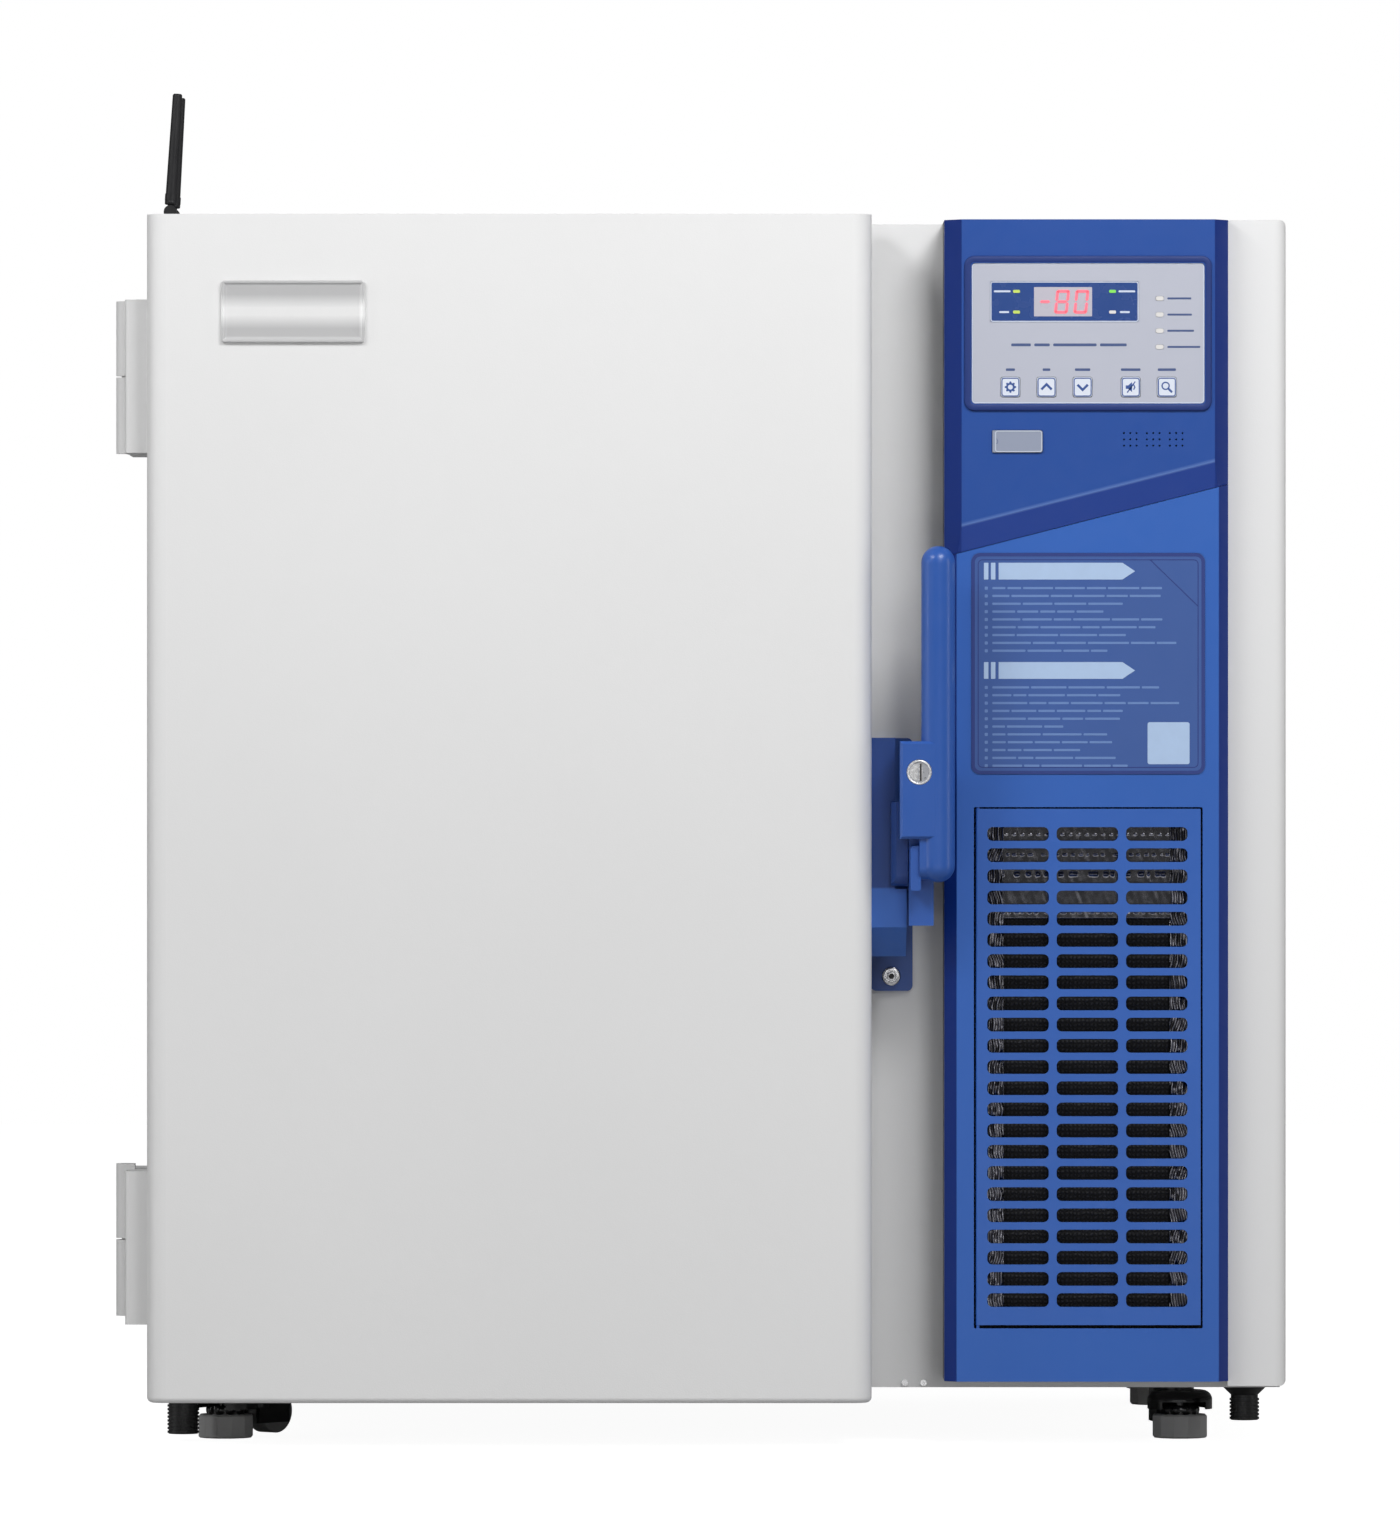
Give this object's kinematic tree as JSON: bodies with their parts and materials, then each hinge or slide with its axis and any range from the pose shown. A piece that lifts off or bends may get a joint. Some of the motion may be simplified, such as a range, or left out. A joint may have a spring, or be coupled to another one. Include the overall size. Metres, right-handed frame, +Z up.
{
  "type": "ultra low temperature freezer",
  "caption": "Compact laboratory deep freezer with a hinged insulated door, lever latch, blue control front with slotted grille, inner doors and screw-foot casters.",
  "frame": {"origin": "centre of the overall outline, on the floor", "axes": "+Z up and longest, the front faces -Y, +X to the right as seen from the front"},
  "size_m": [0.84, 0.684, 0.9759],
  "materials": {
    "white_steel": "satin",
    "hinge_paint": "satin",
    "dark_steel": "matte",
    "bright_steel": "satin",
    "chrome_trim": "polished",
    "blue_plastic": "satin",
    "blue_panel": "satin",
    "pale_overlay": "satin",
    "display_blue": "gloss",
    "key_white": "satin",
    "print_blue": "satin",
    "pale_flap": "satin",
    "board_green": "satin",
    "black_plastic": "satin",
    "grey_foot": "matte",
    "black_rubber": "matte",
    "grey_rubber": "matte",
    "foam": "matte",
    "filter_mat": "matte",
    "fin_aluminium": "satin",
    "copper_tube": "satin",
    "liner_white": "satin"
  },
  "bodies": {
    "cabinet": {"hinge_cabinet_leaves": "hinge_paint", "striker_plate": "blue_plastic", "cabinet_screws": "chrome_trim", "outer_case": "white_steel", "foam_insulation": "foam", "inner_liner": "bright_steel", "shelf": "bright_steel", "refrigerant_lines": "copper_tube", "base_frame": "white_steel", "rear_spacers": "black_rubber", "right_side_cover": "white_steel", "bay_frame": "dark_steel", "rear_grille": "white_steel", "upper_fascia": "blue_panel", "lower_fascia": "blue_panel", "instruction_plate": "print_blue", "membrane_panel": "pale_overlay", "display": "display_blue", "control_board": "board_green", "condenser_filter": "filter_mat", "condenser_coil": "fin_aluminium", "fan_motor": "dark_steel", "compressors": "dark_steel", "electrical_box": "dark_steel", "antenna_module": "black_plastic"},
    "door": {"door_skin": "white_steel", "door_liner": "liner_white", "door_foam": "foam", "door_gasket": "grey_rubber", "nameplate": "chrome_trim", "hinge_door_leaves": "hinge_paint", "handle_base": "blue_plastic"},
    "lever": {"lever_handle": "blue_plastic"},
    "lock": {"lock_cylinder": "chrome_trim"},
    "inner_door_lower": {"inner_door_lower": "liner_white"},
    "inner_door_upper": {"inner_door_upper": "liner_white"},
    "fan": {"fan_blades": "black_plastic"},
    "grille": {"grille_door": "blue_panel"},
    "usb_flap": {"usb_cover": "pale_flap"},
    "key_set": {"key_set": "key_white"},
    "key_up": {"key_up": "key_white"},
    "key_down": {"key_down": "key_white"},
    "key_mute": {"key_mute": "key_white"},
    "key_search": {"key_search": "key_white"},
    "antenna_front": {"antenna_front": "black_rubber"},
    "antenna_rear": {"antenna_rear": "black_rubber"},
    "caster_front_left": {"caster_fork_front_left": "black_plastic"},
    "wheel_front_left": {"caster_wheel_front_left": "grey_foot"},
    "foot_front_left": {"caster_foot_front_left": "grey_foot"},
    "caster_front_right": {"caster_fork_front_right": "black_plastic"},
    "wheel_front_right": {"caster_wheel_front_right": "grey_foot"},
    "foot_front_right": {"caster_foot_front_right": "grey_foot"},
    "caster_rear_left": {"caster_fork_rear_left": "black_plastic"},
    "wheel_rear_left": {"caster_wheel_rear_left": "grey_foot"},
    "foot_rear_left": {"caster_foot_rear_left": "grey_foot"},
    "caster_rear_right": {"caster_fork_rear_right": "black_plastic"},
    "wheel_rear_right": {"caster_wheel_rear_right": "grey_foot"},
    "foot_rear_right": {"caster_foot_rear_right": "grey_foot"},
    "leg_left": {"levelling_leg_left": "black_plastic"},
    "leg_right": {"levelling_leg_right": "black_plastic"}
  },
  "joints": [
    {"name": "door_hinge", "type": "hinge", "parent": "cabinet", "child": "door", "pos_m": [-0.413, -0.245, 0.4565], "axis": [0, 0, -1], "range_deg": [0, 115]},
    {"name": "lever_pivot", "type": "hinge", "parent": "door", "child": "lever", "pos_m": [0.149, -0.29, 0.415], "axis": [1, 0, 0], "range_deg": [0, 60]},
    {"name": "lock_turn", "type": "hinge", "parent": "lever", "child": "lock", "pos_m": [0.1559, -0.33, 0.4824], "axis": [0, 1, 0], "range_deg": [0, 90]},
    {"name": "inner_door_lower_hinge", "type": "hinge", "parent": "cabinet", "child": "inner_door_lower", "pos_m": [-0.2952, -0.235, 0.30717], "axis": [0, 0, -1], "range_deg": [0, 103.5]},
    {"name": "inner_door_upper_hinge", "type": "hinge", "parent": "cabinet", "child": "inner_door_upper", "pos_m": [-0.2952, -0.235, 0.62682], "axis": [0, 0, -1], "range_deg": [0, 103.5]},
    {"name": "fan_spin", "type": "hinge", "parent": "cabinet", "child": "fan", "pos_m": [0.29745, -0.172, 0.27498], "axis": [0, 1, 0], "continuous": true},
    {"name": "grille_hinge", "type": "hinge", "parent": "cabinet", "child": "grille", "pos_m": [0.1987, -0.2947, 0.27168], "axis": [0, 0, -1], "range_deg": [0, 90]},
    {"name": "usb_flap_hinge", "type": "hinge", "parent": "cabinet", "child": "usb_flap", "pos_m": [0.21, -0.3002, 0.71885], "axis": [0, 0, -1], "range_deg": [0, 110]},
    {"name": "key_set_press", "type": "slide", "parent": "cabinet", "child": "key_set", "axis": [0, 1, 0], "range_m": [0, 0.0004], "stiffness_N_per_m": 800},
    {"name": "key_up_press", "type": "slide", "parent": "cabinet", "child": "key_up", "axis": [0, 1, 0], "range_m": [0, 0.0004], "stiffness_N_per_m": 800},
    {"name": "key_down_press", "type": "slide", "parent": "cabinet", "child": "key_down", "axis": [0, 1, 0], "range_m": [0, 0.0004], "stiffness_N_per_m": 800},
    {"name": "key_mute_press", "type": "slide", "parent": "cabinet", "child": "key_mute", "axis": [0, 1, 0], "range_m": [0, 0.0004], "stiffness_N_per_m": 800},
    {"name": "key_search_press", "type": "slide", "parent": "cabinet", "child": "key_search", "axis": [0, 1, 0], "range_m": [0, 0.0004], "stiffness_N_per_m": 800},
    {"name": "antenna_front_tilt", "type": "hinge", "parent": "cabinet", "child": "antenna_front", "pos_m": [-0.3852, -0.158, 0.88995], "axis": [0, 1, 0], "range_deg": [-3.5, 76]},
    {"name": "antenna_rear_tilt", "type": "hinge", "parent": "cabinet", "child": "antenna_rear", "pos_m": [-0.3852, -0.108, 0.88995], "axis": [0, 1, 0], "range_deg": [-3.5, 76]},
    {"name": "caster_front_left_swivel", "type": "hinge", "parent": "cabinet", "child": "caster_front_left", "pos_m": [-0.32729, -0.16008, 0.0395], "axis": [0, 0, 1], "continuous": true},
    {"name": "wheel_front_left_roll", "type": "hinge", "parent": "caster_front_left", "child": "wheel_front_left", "pos_m": [-0.31379, -0.144, 0.0175], "axis": [0.766, -0.6428, 0], "continuous": true},
    {"name": "foot_front_left_screw", "type": "slide", "parent": "caster_front_left", "child": "foot_front_left", "axis": [0, 0, 1], "range_m": [-0.006, 0.0024]},
    {"name": "caster_front_right_swivel", "type": "hinge", "parent": "cabinet", "child": "caster_front_right", "pos_m": [0.34438, -0.15425, 0.0395], "axis": [0, 0, 1], "continuous": true},
    {"name": "wheel_front_right_roll", "type": "hinge", "parent": "caster_front_right", "child": "wheel_front_right", "pos_m": [0.34146, -0.13346, 0.0175], "axis": [0.9903, 0.1392, 0], "continuous": true},
    {"name": "foot_front_right_screw", "type": "slide", "parent": "caster_front_right", "child": "foot_front_right", "axis": [0, 0, 1], "range_m": [-0.006, 0.0024]},
    {"name": "caster_rear_left_swivel", "type": "hinge", "parent": "cabinet", "child": "caster_rear_left", "pos_m": [-0.32729, 0.26992, 0.0395], "axis": [0, 0, 1], "continuous": true},
    {"name": "wheel_rear_left_roll", "type": "hinge", "parent": "caster_rear_left", "child": "wheel_rear_left", "pos_m": [-0.31379, 0.286, 0.0175], "axis": [0.766, -0.6428, 0], "continuous": true},
    {"name": "foot_rear_left_screw", "type": "slide", "parent": "caster_rear_left", "child": "foot_rear_left", "axis": [0, 0, 1], "range_m": [-0.006, 0.0024]},
    {"name": "caster_rear_right_swivel", "type": "hinge", "parent": "cabinet", "child": "caster_rear_right", "pos_m": [0.34438, 0.27575, 0.0395], "axis": [0, 0, 1], "continuous": true},
    {"name": "wheel_rear_right_roll", "type": "hinge", "parent": "caster_rear_right", "child": "wheel_rear_right", "pos_m": [0.34146, 0.29654, 0.0175], "axis": [0.9903, 0.1392, 0], "continuous": true},
    {"name": "foot_rear_right_screw", "type": "slide", "parent": "caster_rear_right", "child": "foot_rear_right", "axis": [0, 0, 1], "range_m": [-0.006, 0.0024]},
    {"name": "leg_left_screw", "type": "slide", "parent": "cabinet", "child": "leg_left", "axis": [0, 0, -1], "range_m": [0, 0.0045]},
    {"name": "leg_right_screw", "type": "slide", "parent": "cabinet", "child": "leg_right", "axis": [0, 0, -1], "range_m": [0, 0.0145]}
  ],
  "couplings": [
    {"joint": "inner_door_lower_hinge", "follows": "door_hinge", "ratio": 0.9},
    {"joint": "inner_door_upper_hinge", "follows": "door_hinge", "ratio": 0.9}
  ]
}
